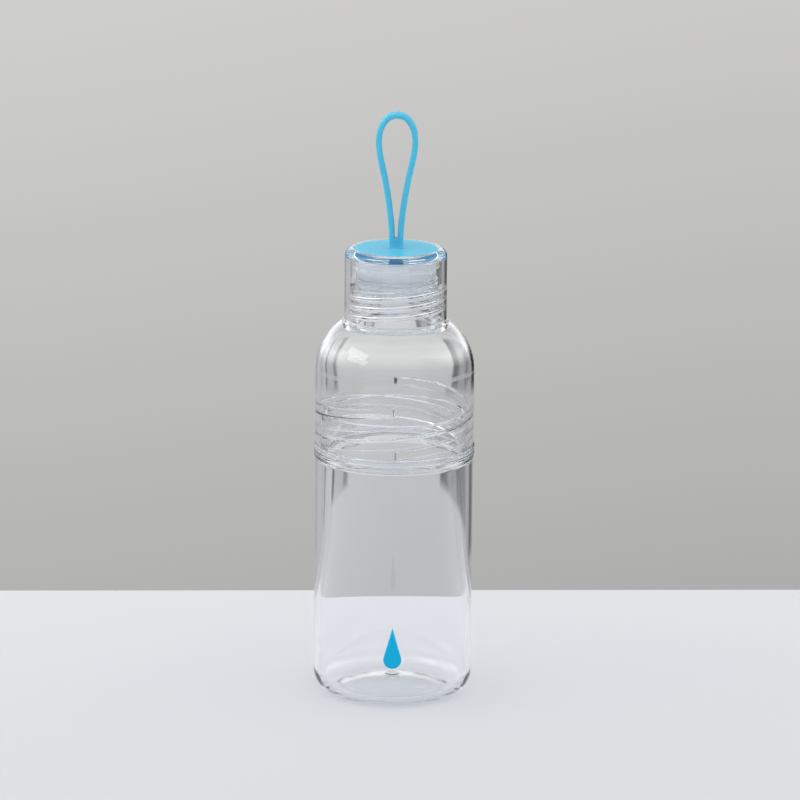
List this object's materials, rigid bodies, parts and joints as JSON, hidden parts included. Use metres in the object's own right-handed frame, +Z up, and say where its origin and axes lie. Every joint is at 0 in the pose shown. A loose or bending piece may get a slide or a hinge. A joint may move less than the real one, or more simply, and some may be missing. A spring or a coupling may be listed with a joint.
{
  "type": "sports drinking bottle",
  "caption": "Clear two-part screw bottle with a clear screw cap, frosted stopper and a silicone carrying loop.",
  "frame": {"origin": "middle of the ring that the bottle stands on", "axes": "+Z up along the bottle, -Y towards the printed front, +X to the right of someone who faces that front"},
  "size_m": [0.0658, 0.0658, 0.2427],
  "materials": {
    "clear_plastic": "clear, glossy copolyester",
    "frosted_plastic": "frosted, lets light through",
    "clear_silicone": "satin, lets light through",
    "blue_silicone": "satin silicone",
    "blue_ink": "screen-printed ink"
  },
  "bodies": {
    "bottle": {"bottle_body": "clear_plastic", "printed_drop": "blue_ink"},
    "joint_ring": {"body_seal": "clear_silicone"},
    "shoulder": {"shoulder": "clear_plastic"},
    "mouth_ring": {"cap_seal": "clear_silicone"},
    "cap": {"cap_shell": "clear_plastic", "cap_liner": "frosted_plastic", "strap_base": "blue_silicone"},
    "loop": {"strap_loop": "blue_silicone"}
  },
  "joints": [
    {"name": "shoulder_rise", "type": "slide", "parent": "bottle", "child": "joint_ring", "axis": [0, 0, 1], "range_m": [0, 0.0201]},
    {"name": "shoulder_turn", "type": "hinge", "parent": "joint_ring", "child": "shoulder", "pos_m": [0, 0, 0.1024], "axis": [0, 0, 1], "range_deg": [0, 400]},
    {"name": "cap_rise", "type": "slide", "parent": "shoulder", "child": "mouth_ring", "axis": [0, 0, 1], "range_m": [0, 0.0201]},
    {"name": "cap_turn", "type": "hinge", "parent": "mouth_ring", "child": "cap", "pos_m": [0, 0, 0.1734], "axis": [0, 0, 1], "range_deg": [0, 900]},
    {"name": "loop_bend", "type": "hinge", "parent": "cap", "child": "loop", "pos_m": [0, 0, 0.1911], "axis": [1, 0, 0], "range_deg": [-75, 75], "stiffness_Nm_per_rad": 0.004}
  ],
  "couplings": [
    {"joint": "shoulder_rise", "follows": "shoulder_turn", "m_per_rad": 0.0028648},
    {"joint": "cap_rise", "follows": "cap_turn", "m_per_rad": 0.0012732}
  ]
}
